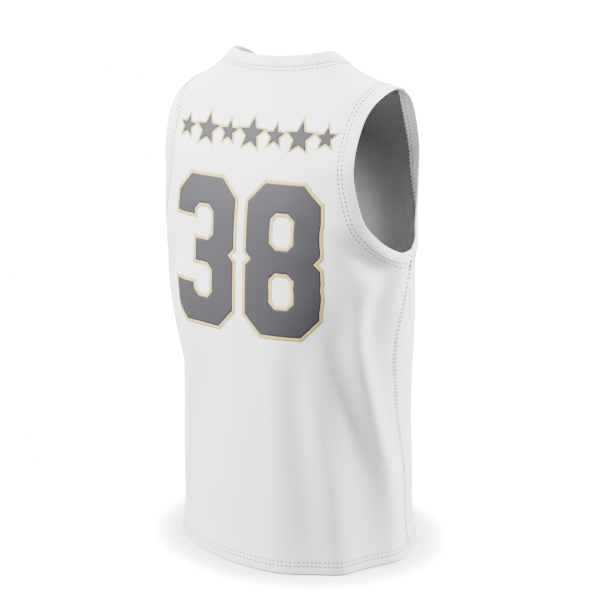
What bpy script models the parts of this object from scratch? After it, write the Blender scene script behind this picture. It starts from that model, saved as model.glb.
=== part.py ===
"""Sleeveless volleyball jersey, filled out as it is worn, with nobody in it.

Metres, +Z up. The chest faces -Y, the back +Y, and the wearer's left is +X. The origin is in the
middle of the neck, 16 mm above the neck ends of the shoulder seams.

The whole garment is one sheet of arches. Each arch rises from the back hem, passes over the
shoulder line and comes down to the front hem. A place on it is (share, run): the share across a
panel, from -1 at the wearer's right edge to +1 at the left edge, and the run along the arch.
"""
import math

import bmesh
import bpy
import numpy as np

# ---- cloth
CLOTH = 0.0015            # one wall of knit
BAND_WALL = 0.0020        # the doubled neck band, which stands proud of the panels
BAND_GAP = 0.0005         # the band from the panels, clear where the neckline turns fastest
BAND_PROUD = 0.6          # -1 puts the band's wall inside its line, 1 outside, 0 half and half
FACING_WALL = 0.0012      # the strip turned in round each armhole
SEAM_GAP = 0.0003         # between two pieces that are sewn together
HEM_DEPTH = 0.020         # the hem is turned up inside by this much
FACING_WIDTH = 0.022      # the armhole strip

# ---- mesh
COLUMNS_NECK = 11         # from the middle to the neck end of the shoulder seam
NECK_CROWDING = 0.90      # how far those columns crowd towards the neck end
COLUMNS_SHOULDER = 6      # from there to the armhole strip
ROW_STEP = 0.022          # height of a row of faces
EDGE_STEP = 0.0025        # narrow faces along a seam, so that both sides meet square
ARC_STEPS = 180           # fine steps along a section before it is shared out evenly
NECK_STEPS = 240          # fine steps along an arch on which a neckline is found
WELD = 0.0001             # points closer than this are one point

# ---- body: closed rounds below the armholes
BODY = [
    # name, z_middle, z_seam, half_width, y_widest, y_back, y_front, y_seam
    ("hem", -.720, -.720, .178, -.027, .127, -.184, -.050),
    ("hem_rise", -.690, -.690, .1745, -.025, .124, -.179, -.048),
    ("hip", -.600, -.600, .173, -.022, .121, -.170, -.040),
    ("waist", -.480, -.478, .174, -.016, .119, -.160, -.010),
    ("ribs", -.390, -.380, .184, -.008, .1195, -.149, .006),
    ("side", -.345, -.320, .191, .000, .1190, -.144, -.004),
    ("armpit", -.310, -.264, .195, .004, .1177, -.138, -.015),
]

# ---- panels beside the armholes: open sections that end on the armhole edge
BACK_ARMHOLE = [
    # name, z_middle, y_middle, x_edge, y_edge, z_edge, turn (degrees from the middle to the edge)
    ("low", -.285, .1165, .192, .0125, -.264, 90),
    ("curve", -.260, .1148, .182, .046, -.246, 80),
    ("turn", -.222, .1117, .167, .069, -.214, 70),
    ("middle", -.162, .101, .1575, .079, -.150, 60),
    ("blade", -.105, .083, .160, .064, -.095, 54),
    ("yoke", -.050, .058, .163, .036, -.066, 50),
]
FRONT_ARMHOLE = [
    # the same columns
    ("low", -.285, -.136, .189, -.032, -.252, 79),
    ("curve", -.260, -.134, .178, -.050, -.236, 81),
    ("turn", -.222, -.131, .164, -.078, -.203, 72),
    ("middle", -.162, -.122, .154, -.097, -.150, 58),
    ("chest", -.105, -.100, .157, -.082, -.100, 54),
    ("collar", -.050, -.062, .163, -.050, -.062, 50),
]
SQUARE = 0.90             # below 1 a section is squarer than an ellipse
LIFT = 5                  # how sharply a row climbs to the armhole at its ends
SEAM_CORNER = 12          # how close to a side seam the corner below the armhole stays

# ---- shoulder line, seen from the front: a soft bell
TIP = (.166, -.015, -.049)
SHOULDER_BASE = -.055
SHOULDER_RISE = .095
SHOULDER_WIDTH = .100
SHOULDER_BACK = .017      # how far behind the origin its middle part runs
SHOULDER_SWEEP = 4        # how late it swings forward to the tips

# ---- neck, seen from the front: half width at the shoulder seam, height at centre back and front
NECK = [
    # name, half_width, z_back, z_front
    ("seam", .0940, -.0260, -.1000),
    ("free_edge", .0775, -.0105, -.0830),
]
NECK_ROUND = 2.2          # how round the neckline is
BAND_WIDTH = 0.0205       # from the seam to the free edge, at the side of the neck

# ---- folds: place counts panels' halves from centre back, 1 at a side seam, 2 at centre front
FOLD_AXIS_Y = -.02        # folds stand out from this upright line
FOLDS = [
    # name, z_top, z_bottom, place_top, place_middle, place_bottom, spread, height, hem_share
    ("right_hollow", -.215, -.430, -.88, -.80, -.87, .026, -.010, 0),
    ("right_long_ridge", -.270, -.720, -.63, -.80, -.88, .022, .010, .6),
    ("right_long_trough", -.270, -.720, -.52, -.67, -.68, .034, -.008, .6),
    ("right_short_ridge", -.340, -.640, -.54, -.60, -.64, .018, .003, 0),
    ("right_third_ridge", -.380, -.720, -.44, -.48, -.54, .024, .005, .8),
    ("right_third_trough", -.330, -.720, -.41, -.39, -.41, .028, -.006, .6),
    ("back_ridge", -.360, -.720, -.22, -.22, -.19, .032, .004, .3),
    ("back_trough", -.430, -.720, -.16, -.13, -.11, .026, -.002, .3),
    ("left_back_trough", -.340, -.720, .19, .22, .23, .036, -.004, .3),
    ("left_edge_ridge", -.250, -.720, .42, .47, .50, .026, .008, .6),
    ("left_long_trough", -.250, -.540, .62, .65, .64, .026, -.016, 0),
    ("left_low_trough", -.450, -.720, .76, .76, .78, .026, -.008, .5),
    ("left_hollow", -.235, -.430, .94, .92, .94, .022, -.004, 0),
    ("left_side_ridge", -.240, -.560, .82, .85, .86, .032, .009, 0),
    ("right_side_swell", -.300, -.720, -1.16, -1.20, -1.18, .050, .003, .3),
    ("left_side_swell", -.300, -.720, 1.14, 1.20, 1.22, .050, .004, .3),
    ("right_front_hollow", -.235, -.430, -1.10, -1.20, -1.13, .020, -.006, 0),
    ("left_front_hollow", -.235, -.440, 1.10, 1.21, 1.15, .020, -.007, 0),
    ("right_front_trough", -.330, -.720, -1.42, -1.34, -1.30, .023, -.008, .5),
    ("right_front_ridge", -.330, -.720, -1.50, -1.46, -1.44, .024, .006, .5),
    ("left_front_trough", -.310, -.720, 1.44, 1.35, 1.33, .023, -.009, .5),
    ("left_front_ridge", -.340, -.720, 1.52, 1.47, 1.45, .024, .006, .5),
    ("right_belly_trough", -.420, -.720, -1.70, -1.66, -1.62, .028, -.005, .5),
    ("left_belly_trough", -.400, -.720, 1.72, 1.64, 1.60, .028, -.005, .5),
]
HALF_PANEL = 0.280        # length of half a panel, for the spread of a fold
FOLD_GROWS = 0.35         # a fold reaches its full height after this part of its length
FOLD_FADES = 0.45         # and sinks from here on to its share at the hem

# ---- finish
WHITE = (.84, .84, .84, 1)
ROUGHNESS = 0.75


# ------------------------------------------------------------------ sections
def share_out(outline, share):
    """Points at even lengths along a plan outline; share runs from -1 to 1."""
    steps = np.linalg.norm(np.diff(outline, axis=0), axis=1)
    length = np.concatenate([[0], np.cumsum(steps)])
    at = 2 * length / length[-1] - 1
    return np.interp(share, at, outline[:, 0]), np.interp(share, at, outline[:, 1])


def raised(z_middle, z_edge, share):
    """Height along a row that climbs to its edge."""
    return z_middle + (z_edge - z_middle) * np.abs(share) ** LIFT


def body_row(row, share, back):
    """One panel's half of a closed round."""
    _, z_middle, z_seam, half_width, y_widest, y_back, y_front, y_seam = row
    behind = y_back - y_widest
    ahead = y_widest - y_front
    depth = behind if y_seam > y_widest else ahead
    seam = math.acos((y_seam - y_widest) / depth)
    reach = np.linspace(-1, 1, ARC_STEPS + 1)
    angle = reach * seam if back else math.pi - reach * (math.pi - seam)
    x = half_width * np.sign(np.sin(angle)) * np.abs(np.sin(angle)) ** SQUARE
    y = y_widest + np.where(np.cos(angle) > 0, behind, ahead) * np.cos(angle)
    x, y = share_out(np.column_stack([x, y]), share)
    return np.column_stack([x, y, raised(z_middle, z_seam, share)])


def armhole_row(row, share):
    """An open section from one armhole edge to the other."""
    _, z_middle, y_middle, x_edge, y_edge, z_edge, turn = row
    limit = math.radians(turn)
    angle = limit * np.linspace(-1, 1, ARC_STEPS + 1)
    x = x_edge * np.sign(angle) * (np.abs(np.sin(angle)) / math.sin(limit)) ** SQUARE
    bow = (np.cos(angle) - math.cos(limit)) / (1 - math.cos(limit))
    x, y = share_out(np.column_stack([x, y_edge + (y_middle - y_edge) * bow]), share)
    return np.column_stack([x, y, raised(z_middle, z_edge, share)])


def shoulder_row(share):
    """The shoulder line, carried on across the neck so that the arches stay whole."""
    x = share * TIP[0]
    y = SHOULDER_BACK + (TIP[1] - SHOULDER_BACK) * np.abs(share) ** SHOULDER_SWEEP
    z = SHOULDER_BASE + SHOULDER_RISE * np.exp(-(x / SHOULDER_WIDTH) ** 2)
    return np.column_stack([x, y, z])


def all_rows(share):
    back = [body_row(row, share, True) for row in BODY]
    back += [armhole_row(row, share) for row in BACK_ARMHOLE]
    front = [body_row(row, share, False) for row in BODY]
    front += [armhole_row(row, share) for row in FRONT_ARMHOLE]
    return np.array(back + [shoulder_row(share)] + front[::-1])


# ------------------------------------------------------------------ the sheet of arches
def knot_runs():
    """The run of each row, from the middle and quarter columns; side seams share theirs."""
    rows = all_rows(np.array([0, .5]))
    steps = np.linalg.norm(np.diff(rows, axis=0), axis=2).mean(axis=1)
    body_steps = np.diff([row[1] for row in BODY])
    steps[:len(body_steps)] = body_steps
    steps[-len(body_steps):] = body_steps[::-1]
    return np.concatenate([[0], np.cumsum(steps)])


RUNS = knot_runs()
BACK_ARMPIT = len(BODY) - 1
SHOULDER = len(BODY) + len(BACK_ARMHOLE)
FRONT_ARMPIT = len(RUNS) - len(BODY)
SHOULDER_RUN = RUNS[SHOULDER]


def row_slopes(rows):
    """Slopes along the arches: round through the body's rows, and never past a row above them."""
    step = np.diff(RUNS)[:, None, None]
    rise = np.diff(rows, axis=0) / step
    slope = np.zeros_like(rows)
    same = rise[:-1] * rise[1:] > 0
    before = np.where(same, rise[:-1], 1)
    after = np.where(same, rise[1:], 1)
    weight_1 = 2 * step[1:] + step[:-1]
    weight_2 = step[1:] + 2 * step[:-1]
    slope[1:-1] = np.where(same, (weight_1 + weight_2) / (weight_1 / before + weight_2 / after), 0)
    even = (step[1:] * rise[:-1] + step[:-1] * rise[1:]) / (step[:-1] + step[1:])
    slope[1:BACK_ARMPIT + 2] = even[:BACK_ARMPIT + 1]
    slope[FRONT_ARMPIT - 1:-1] = even[FRONT_ARMPIT - 2:]
    slope[0] = rise[0]
    slope[-1] = rise[-1]
    return slope, rise


def base(share, run):
    """Points of the sheet before its folds, for matching arrays of share and run."""
    rows = all_rows(share)
    slope, rise = row_slopes(rows)
    arriving = slope.copy()
    leaving = slope.copy()
    corner = np.abs(share)[:, None] ** SEAM_CORNER
    for knot in (BACK_ARMPIT, FRONT_ARMPIT):
        arriving[knot] += corner * (rise[knot - 1] - slope[knot])
        leaving[knot] += corner * (rise[knot] - slope[knot])
    at = np.clip(np.searchsorted(RUNS, run, side="right") - 1, 0, len(RUNS) - 2)
    column = np.arange(len(share))
    step = (RUNS[at + 1] - RUNS[at])[:, None]
    u = (run - RUNS[at])[:, None] / step
    low = rows[at, column] * (2 * u ** 3 - 3 * u ** 2 + 1)
    high = rows[at + 1, column] * (3 * u ** 2 - 2 * u ** 3)
    low += step * leaving[at, column] * (u ** 3 - 2 * u ** 2 + u)
    high += step * arriving[at + 1, column] * (u ** 3 - u ** 2)
    return low + high


def smooth(x):
    x = np.clip(x, 0, 1)
    return x * x * (3 - 2 * x)


def fold_height(place, z):
    """How far the folds stand out at a place round the body and a height."""
    total = np.zeros_like(z)
    for _, z_top, z_bottom, top, middle, bottom, spread, height, hem_share in FOLDS:
        down = (z_top - z) / (z_top - z_bottom)
        line = np.clip(down, 0, 1)
        centre = top * (1 - line) * (1 - 2 * line) + middle * 4 * line * (1 - line)
        centre += bottom * line * (2 * line - 1)
        across = (place - centre) * HALF_PANEL / spread
        along = smooth(down / FOLD_GROWS)
        along *= 1 - (1 - hem_share) * smooth((down - FOLD_FADES) / (1 - FOLD_FADES))
        total += height * along * np.exp(-across ** 2)
    return total


def sheet(share, run):
    """Points of the outer face of the cloth."""
    points = base(share, run)
    front = run > SHOULDER_RUN
    place = np.where(front, np.sign(share) * (2 - np.abs(share)), share)
    outward = points[:, :2] - np.array([0, FOLD_AXIS_Y])
    outward /= np.linalg.norm(outward, axis=1)[:, None]
    points[:, :2] += outward * fold_height(place, points[:, 2])[:, None]
    return points


# ------------------------------------------------------------------ the neckline
def neck_edge(share, back, out):
    """The run at which each arch meets a neckline; out is 0 at the seam, 1 at the free edge."""
    half_width, z_back, z_front = (NECK[0][k] + out * (NECK[1][k] - NECK[0][k]) for k in (1, 2, 3))
    z_side = shoulder_row(np.array([half_width / TIP[0]]))[0, 2]
    z_deep = z_back if back else z_front
    far = RUNS[SHOULDER - 3] if back else RUNS[SHOULDER + 3]
    runs = np.linspace(far, SHOULDER_RUN, NECK_STEPS)
    result = np.empty(len(share))
    for k, one in enumerate(share):
        points = base(np.full(len(runs), one), runs)
        curve = z_deep + (z_side - z_deep) * (np.abs(points[:, 0]) / half_width) ** NECK_ROUND
        above = points[:, 2] - curve
        crossed = np.nonzero(above >= 0)[0]
        if len(crossed) == 0:
            result[k] = SHOULDER_RUN
            continue
        j = max(crossed[0], 1)
        part = above[j - 1] / (above[j - 1] - above[j])
        result[k] = runs[j - 1] + part * (runs[j] - runs[j - 1])
    return result


# ------------------------------------------------------------------ panels
def neck_shares():
    """Columns from the middle to the neck end of the shoulder seam, as parts of that length."""
    even = np.linspace(0, 1, COLUMNS_NECK + 1)
    return even + NECK_CROWDING * (np.sin(even * math.pi / 2) - even)


def panel_shares(gap):
    """Columns of a panel, with one at each end of the shoulder seam and at the armhole strip."""
    neck = NECK[0][1] / TIP[0]
    strip = 1 - FACING_WIDTH / HALF_PANEL
    half = np.concatenate([
        neck_shares()[:-1] * neck,
        np.linspace(neck, strip, COLUMNS_SHOULDER, endpoint=False),
        [strip, 1 - EDGE_STEP / HALF_PANEL, 1 - gap / 2 / HALF_PANEL]])
    return np.concatenate([-half[:0:-1], half])


def panel_runs(back):
    """Rows of a panel, from its hem to the shoulder line."""
    knots = RUNS[:SHOULDER + 1] if back else RUNS[:SHOULDER - 1:-1]
    away = 1 if back else -1
    runs = [knots[0], knots[0] + away * HEM_DEPTH]
    for low, high in zip(knots[:-1], knots[1:]):
        start = runs[-1] if low == knots[0] else low
        count = max(1, round(abs(high - start) / ROW_STEP))
        runs += list(np.linspace(start, high, count + 1)[1:])
    runs.insert(-1, knots[-1] - away * EDGE_STEP)
    return np.array(runs)


def top_runs(shares, back, out, inset):
    """Where each column of a panel meets a line beside the neckline and the shoulder seam."""
    away = 1 if back else -1
    top = np.full(len(shares), SHOULDER_RUN - away * inset)
    inside = np.abs(shares) * TIP[0] < NECK[0][1] - 1e-6
    neck = neck_edge(shares[inside], back, out)
    top[inside] = np.minimum(neck, top[inside]) if back else np.maximum(neck, top[inside])
    return top


def panel_points(back, gap):
    """A panel as a grid of rows and columns, cut at the neckline and at the shoulder seam."""
    shares = panel_shares(gap)
    runs = panel_runs(back)
    cut = RUNS[SHOULDER - 3] if back else RUNS[SHOULDER + 3]
    away = 1 if back else -1
    beside = top_runs(shares, back, -EDGE_STEP / BAND_WIDTH, EDGE_STEP)
    part = np.maximum((runs - cut) * away, 0) / abs(runs[-2] - cut)
    grid = runs[:, None] + part[:, None] * (beside - runs[-2])[None, :]
    grid[-1] = top_runs(shares, back, 0, gap / 2)
    across = np.repeat(shares[None, :], len(runs), axis=0)
    return sheet(across.ravel(), grid.ravel()).reshape(len(runs), len(shares), 3)


def grid_normals(points, back):
    """Outward unit normals of a grid of points."""
    up = np.gradient(points, axis=0)
    across = np.gradient(points, axis=1)
    normal = np.cross(up, across) if back else np.cross(across, up)
    return normal / np.linalg.norm(normal, axis=2)[:, :, None]


# ------------------------------------------------------------------ objects
def material():
    """White knit."""
    new = bpy.data.materials.new("white_knit")
    new.use_nodes = True
    shader = new.node_tree.nodes["Principled BSDF"]
    shader.inputs["Base Color"].default_value = WHITE
    shader.inputs["Roughness"].default_value = ROUGHNESS
    shader.inputs["Metallic"].default_value = 0
    return new


def add_grid(mesh, points, outward_up, closed=False):
    """Faces between neighbouring points of a grid; closed joins its last column to its first."""
    rows, columns = points.shape[:2]
    corners = [[mesh.verts.new(point) for point in row] for row in points]
    for r in range(rows - 1):
        for c in range(columns if closed else columns - 1):
            d = (c + 1) % columns
            a, b, e, f = corners[r][c], corners[r][d], corners[r + 1][d], corners[r + 1][c]
            for face in ((a, b, e), (a, e, f)):
                mesh.faces.new(face if outward_up else face[::-1])
    return corners


def finish(name, mesh, collection, wall, side=-1, hem_rows=None):
    """An open surface made into a wall, inwards at side -1; the hem rows get a double wall."""
    data = bpy.data.meshes.new(name)
    mesh.to_mesh(data)
    mesh.free()
    data.materials.append(material())
    data.shade_smooth()
    new = bpy.data.objects.new(name, data)
    collection.objects.link(new)
    thicken = new.modifiers.new("wall", "SOLIDIFY")
    thicken.offset = side
    thicken.thickness = wall
    if hem_rows is not None:
        group = new.vertex_groups.new(name="hem")
        group.add([v.index for v in data.vertices], .5, "REPLACE")
        group.add(hem_rows, 1, "REPLACE")
        thicken.vertex_group = "hem"
        thicken.thickness = 2 * wall
    return new


def make_panel(name, back, collection):
    points = panel_points(back, SEAM_GAP)
    mesh = bmesh.new()
    add_grid(mesh, points, not back)
    hem_rows = list(range(2 * points.shape[1]))
    return finish(name, mesh, collection, CLOTH, hem_rows=hem_rows)


def facing_strip(side, back):
    """One panel's share of an armhole strip, from below the armpit up to the shoulder line."""
    points = panel_points(back, 0)
    moved = points - grid_normals(points, back) * (CLOTH + SEAM_GAP)
    pit = RUNS[BACK_ARMPIT if back else FRONT_ARMPIT]
    pit_row = int(np.argmin(np.abs(panel_runs(back) - pit)))
    return moved[pit_row - 1:, -3:] if side > 0 else moved[pit_row - 1:, :3]


def make_facing(name, side, collection):
    """The strip inside an armhole, made from the panels' own points, moved in."""
    behind = facing_strip(side, True)
    ahead = facing_strip(side, False)
    edge = -1 if side > 0 else 0
    for shared in (np.s_[:2, edge], np.s_[-1, :]):
        behind[shared] = ahead[shared] = (behind[shared] + ahead[shared]) / 2
    mesh = bmesh.new()
    add_grid(mesh, behind, False)
    add_grid(mesh, ahead, True)
    bmesh.ops.remove_doubles(mesh, verts=mesh.verts, dist=WELD)
    return finish(name, mesh, collection, FACING_WALL)


def neck_ring(out):
    """A closed neckline on the panels' columns: along the back, then back again in front."""
    parts = neck_shares()
    half = (NECK[0][1] + out * (NECK[1][1] - NECK[0][1])) / TIP[0]
    shares = np.concatenate([-parts[:0:-1], parts]) * half
    halves = []
    for back, order in ((True, shares), (False, shares[::-1])):
        inner = neck_edge(order[1:-1], back, out)
        runs = np.concatenate([[SHOULDER_RUN], inner])
        halves.append(sheet(order[:-1], runs))
    return np.concatenate(halves)


def make_neck_band(collection):
    """The doubled ring of knit that stands up from the neckline."""
    outs = [BAND_GAP / BAND_WIDTH, EDGE_STEP / BAND_WIDTH, .5, 1]
    mesh = bmesh.new()
    add_grid(mesh, np.array([neck_ring(out) for out in outs]), False, closed=True)
    return finish("neck_band", mesh, collection, BAND_WALL, side=BAND_PROUD)


def main():
    for old in list(bpy.data.objects):
        bpy.data.objects.remove(old, do_unlink=True)
    collection = bpy.data.collections.new("volleyball_jersey")
    bpy.context.scene.collection.children.link(collection)
    make_panel("back_panel", True, collection)
    make_panel("front_panel", False, collection)
    make_facing("armhole_facing_left", 1, collection)
    make_facing("armhole_facing_right", -1, collection)
    make_neck_band(collection)


main()
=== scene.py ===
"""Looks of the sleeveless volleyball jersey: fine cloth, sewing, print, floor, light and camera.

Metres, +Z up. The chest faces -Y, the back +Y, and the wearer's left is +X. The garment is one
sheet of arches, from the back hem over the shoulder line to the front hem. A place on it is
(share, run): the share across a panel, -1 to 1, and the run along the arch.
"""
import math

import bpy
import mathutils
import numpy as np
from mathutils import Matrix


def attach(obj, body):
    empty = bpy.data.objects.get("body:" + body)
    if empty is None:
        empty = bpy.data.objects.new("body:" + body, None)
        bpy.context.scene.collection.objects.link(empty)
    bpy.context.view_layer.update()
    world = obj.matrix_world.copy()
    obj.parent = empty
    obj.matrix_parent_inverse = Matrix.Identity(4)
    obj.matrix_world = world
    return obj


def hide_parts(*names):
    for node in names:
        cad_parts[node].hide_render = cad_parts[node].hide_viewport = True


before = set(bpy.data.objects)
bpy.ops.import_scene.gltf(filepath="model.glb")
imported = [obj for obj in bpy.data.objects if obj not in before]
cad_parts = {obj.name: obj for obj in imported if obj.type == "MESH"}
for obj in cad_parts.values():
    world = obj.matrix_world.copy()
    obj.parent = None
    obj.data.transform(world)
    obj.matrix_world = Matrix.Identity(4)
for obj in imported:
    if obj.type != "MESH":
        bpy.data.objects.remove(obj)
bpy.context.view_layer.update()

# ---- cloth
KNIT = 0.0009           # one layer of knit
ROLL = 0.0011           # radius of a folded edge
EDGE_TURN = 170         # degrees by which an armhole edge is rolled in
SEAM_TAIL = 0.0030      # seam allowance that shows inside a side seam
TOP_TAIL = SEAM_TAIL * 0.6  # and inside the shoulder seam and the neckline
HEM_DEPTH = 0.020       # the hem is turned up inside by this much
HEM_PROUD = 0.0004      # how far the turned-in edges make the cloth stand out
HEM_SLOPE = 0.004       # over this much it comes back to the plain cloth
PIT_BLEND = 0.006       # over this much of an arch a side seam turns into an armhole fold
HALF_PANEL = 0.280      # length of half a panel at the chest

# ---- armhole hem
FACING_WIDTH = 0.022
FACING_KNIT = KNIT * 0.8
FACING_LIP = 0.05       # the last step of its inner edge, as a part of the step before
FACING = [
    # distance from the armhole edge and depth below the inside of the fold, by pairs
    (.0002, -.00012), (.0012, 0), (.0030, .0001), (.0060, .0002), (.0100, .0002), (.0150, 0),
    (.0190, 0), (FACING_WIDTH, 0),
]

# ---- neck band: a closed section of doubled knit
BAND_WIDTH = 0.0205     # from the seam to the free edge, at the side of the neck
BAND_LENGTH = 0.62      # round the neck
BAND_LOOPS = 0.0025     # cloth from one point of the section to the next
BAND_SECTION = [
    # out (0 at the seam, 1 at the free edge) and how far it stands off the sheet, by pairs
    (.015, -.0010), (.010, .0002), (.030, .0009), (.10, .0014), (.25, .0017), (.45, .0018),
    (.65, .0017), (.82, .0014), (.93, .0009), (.985, .0002), (1.0, -.0005), (.985, -.0012),
    (.93, -.0016), (.80, -.0018), (.50, -.0019), (.20, -.0018), (.03, -.0016),
]

# ---- fine mesh
NECK_COLUMNS = 44       # from the middle to the neck end of the shoulder seam
NECK_CROWDING = 0.90    # how far those columns crowd towards the neck end
NECK_STEPS = 240        # fine steps along an arch on which a neckline is found
SHOULDER_COLUMNS = 22   # from there to the armhole hem
HEM_COLUMNS = 16        # in the armhole hem
EDGE_COLUMNS = 7        # that roll a panel's side in
ROW_STEP = 0.0052       # height of a row of faces
HEM_STEP = 0.0014       # and in the hem
HEM_BEYOND = 0.003      # how far the fine rows and columns go on past a hem
FOLD_ROWS = 6           # that turn the hem up
TOP_ROWS = 4            # that roll in the shoulder seam and the neckline
FADE_ROWS = 4           # over which a side's roll grows above the hem
ARC_STEPS = 180         # fine steps along a section before it is shared out evenly
ARMHOLE_STEPS = 260     # round each armhole
ARMHOLE_PASSES = 7      # that bring a ring to its distance from the armhole edge
RING_SHARE = 0.5        # a ring stays beyond this share
NEAR_STEPS = 400        # round an armhole, to find what lies near it
NEAR_SHARE = 0.8        # what lies near an armhole is past this share
NEAR_RUN = 0.05         # and at most this far below it
TANGENT_STEPS = 3       # steps each way from which a ring's direction is taken
NORMAL_BLEND = ((-4, .1), (-2, .2), (0, .4), (2, .2), (4, .1))  # steps along a ring, weight
TINY_SHARE = 1e-4       # steps from which slopes are taken
TINY_RUN = 1e-5
TOUCHING = 1e-6

# ---- body: closed rounds below the armholes
BODY = [
    # name, z_middle, z_seam, half_width, y_widest, y_back, y_front, y_seam
    ("hem", -.720, -.720, .178, -.027, .127, -.184, -.050),
    ("hem_rise", -.690, -.690, .1745, -.025, .124, -.179, -.048),
    ("hip", -.600, -.600, .173, -.022, .121, -.170, -.040),
    ("waist", -.480, -.478, .174, -.016, .119, -.160, -.010),
    ("ribs", -.390, -.380, .184, -.008, .1195, -.149, .006),
    ("side", -.345, -.320, .191, .000, .1190, -.144, -.004),
    ("armpit", -.310, -.264, .195, .004, .1177, -.138, -.015),
]

# ---- panels beside the armholes: open sections that end on the armhole edge
BACK_ARMHOLE = [
    # name, z_middle, y_middle, x_edge, y_edge, z_edge, turn (degrees from the middle to the edge)
    ("low", -.285, .1165, .192, .0125, -.264, 90),
    ("curve", -.260, .1148, .182, .046, -.246, 80),
    ("turn", -.222, .1117, .167, .069, -.214, 70),
    ("middle", -.162, .101, .1575, .079, -.150, 60),
    ("blade", -.105, .083, .160, .064, -.095, 54),
    ("yoke", -.050, .058, .163, .036, -.066, 50),
]
FRONT_ARMHOLE = [
    # the same columns
    ("low", -.285, -.136, .189, -.032, -.252, 79),
    ("curve", -.260, -.134, .178, -.050, -.236, 81),
    ("turn", -.222, -.131, .164, -.078, -.203, 72),
    ("middle", -.162, -.122, .154, -.097, -.150, 58),
    ("chest", -.105, -.100, .157, -.082, -.100, 54),
    ("collar", -.050, -.062, .163, -.050, -.062, 50),
]
SQUARE = 0.90           # below 1 a section is squarer than an ellipse
LIFT = 5                # how sharply a row climbs to the armhole at its ends
SEAM_CORNER = 12        # how close to a side seam the corner below the armhole stays

# ---- shoulder line, seen from the front: a soft bell
TIP_X = .166
TIP_Y = -.015
SHOULDER_BASE = -.055
SHOULDER_RISE = .095
SHOULDER_WIDTH = .100
SHOULDER_BACK = .017    # how far behind the origin its middle part runs
SHOULDER_SWEEP = 4      # how late it swings forward to the tips

# ---- neck, seen from the front
NECK = [
    # name, half_width, z_back, z_front
    ("seam", .0940, -.0260, -.1000),
    ("free_edge", .0775, -.0105, -.0830),
]
NECK_ROUND = 2.2        # how round the neckline is
NECK_ROWS = 3           # rows beside the shoulder line that the neckline cuts into

# ---- folds: place counts panels' halves from centre back, 1 at a side seam, 2 at centre front
FOLD_AXIS_Y = -.02      # folds stand out from this upright line
FOLDS = [
    # name, z_top, z_bottom, place_top, place_middle, place_bottom, spread, height, hem_share
    ("right_hollow", -.215, -.430, -.88, -.80, -.87, .026, -.010, 0),
    ("right_long_ridge", -.270, -.720, -.63, -.80, -.88, .022, .010, .6),
    ("right_long_trough", -.270, -.720, -.52, -.67, -.68, .034, -.008, .6),
    ("right_short_ridge", -.340, -.640, -.54, -.60, -.64, .018, .003, 0),
    ("right_third_ridge", -.380, -.720, -.44, -.48, -.54, .024, .005, .8),
    ("right_third_trough", -.330, -.720, -.41, -.39, -.41, .028, -.006, .6),
    ("back_ridge", -.360, -.720, -.22, -.22, -.19, .032, .004, .3),
    ("back_trough", -.430, -.720, -.16, -.13, -.11, .026, -.002, .3),
    ("left_back_trough", -.340, -.720, .19, .22, .23, .036, -.004, .3),
    ("left_edge_ridge", -.250, -.720, .42, .47, .50, .026, .008, .6),
    ("left_long_trough", -.250, -.540, .62, .65, .64, .026, -.016, 0),
    ("left_low_trough", -.450, -.720, .76, .76, .78, .026, -.008, .5),
    ("left_hollow", -.235, -.430, .94, .92, .94, .022, -.004, 0),
    ("left_side_ridge", -.240, -.560, .82, .85, .86, .032, .009, 0),
    ("right_side_swell", -.300, -.720, -1.16, -1.20, -1.18, .050, .003, .3),
    ("left_side_swell", -.300, -.720, 1.14, 1.20, 1.22, .050, .004, .3),
    ("right_front_hollow", -.235, -.430, -1.10, -1.20, -1.13, .020, -.006, 0),
    ("left_front_hollow", -.235, -.440, 1.10, 1.21, 1.15, .020, -.007, 0),
    ("right_front_trough", -.330, -.720, -1.42, -1.34, -1.30, .023, -.008, .5),
    ("right_front_ridge", -.330, -.720, -1.50, -1.46, -1.44, .024, .006, .5),
    ("left_front_trough", -.310, -.720, 1.44, 1.35, 1.33, .023, -.009, .5),
    ("left_front_ridge", -.340, -.720, 1.52, 1.47, 1.45, .024, .006, .5),
    ("right_belly_trough", -.420, -.720, -1.70, -1.66, -1.62, .028, -.005, .5),
    ("left_belly_trough", -.400, -.720, 1.72, 1.64, 1.60, .028, -.005, .5),
]
FOLD_GROWS = 0.35       # a fold reaches its full height after this part of its length
FOLD_FADES = 0.45       # and sinks from here on to its share at the hem

# ---- sewing
STITCH_LENGTH = 0.0042
STITCH_PITCH = 0.0060
STITCH_RADIUS = 0.00062
HALF_STITCH = (.42, .14)  # shortest half, and how much longer one can be, in lengths
STITCH_STRAY = 0.18     # how far a stitch strays along its row, in pitches
STITCH_AHEAD = 0.001    # how far to each side its direction is taken from
STITCH_CROWN = 1.1      # in radii: how far its middle stands out
STITCH_UNDERSIDE = 0.6  # how deep its middle lies in the cloth
STITCH_END_DEPTH = 0.4  # and its ends
STITCH_LIFT = 0.0002    # a row above the cloth
INSIDE_LIFT = KNIT * 0.2  # and above the armhole hem
HEM_ROWS = (0.011, 0.017)  # above the hem edge
ARMHOLE_ROWS = (0.0150, 0.0205)  # from the armhole edge
SIDE_ROW = 0.0024       # beside the side seam
NECK_ROW = 0.0052       # below the neck seam
ROW_END = 0.002         # a row stops this short of a side seam or the hem
PIT_END = 0.003         # and this short of an armhole
HEM_ROW_POINTS = 320
SIDE_ROW_POINTS = 160
STITCH_SINK = 0.00035   # how deep a row pulls the cloth in
STITCH_SPREAD = 0.0016  # how far to each side
SCATTER = (12.9898, 43758.5453)  # makes the stitches uneven

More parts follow.
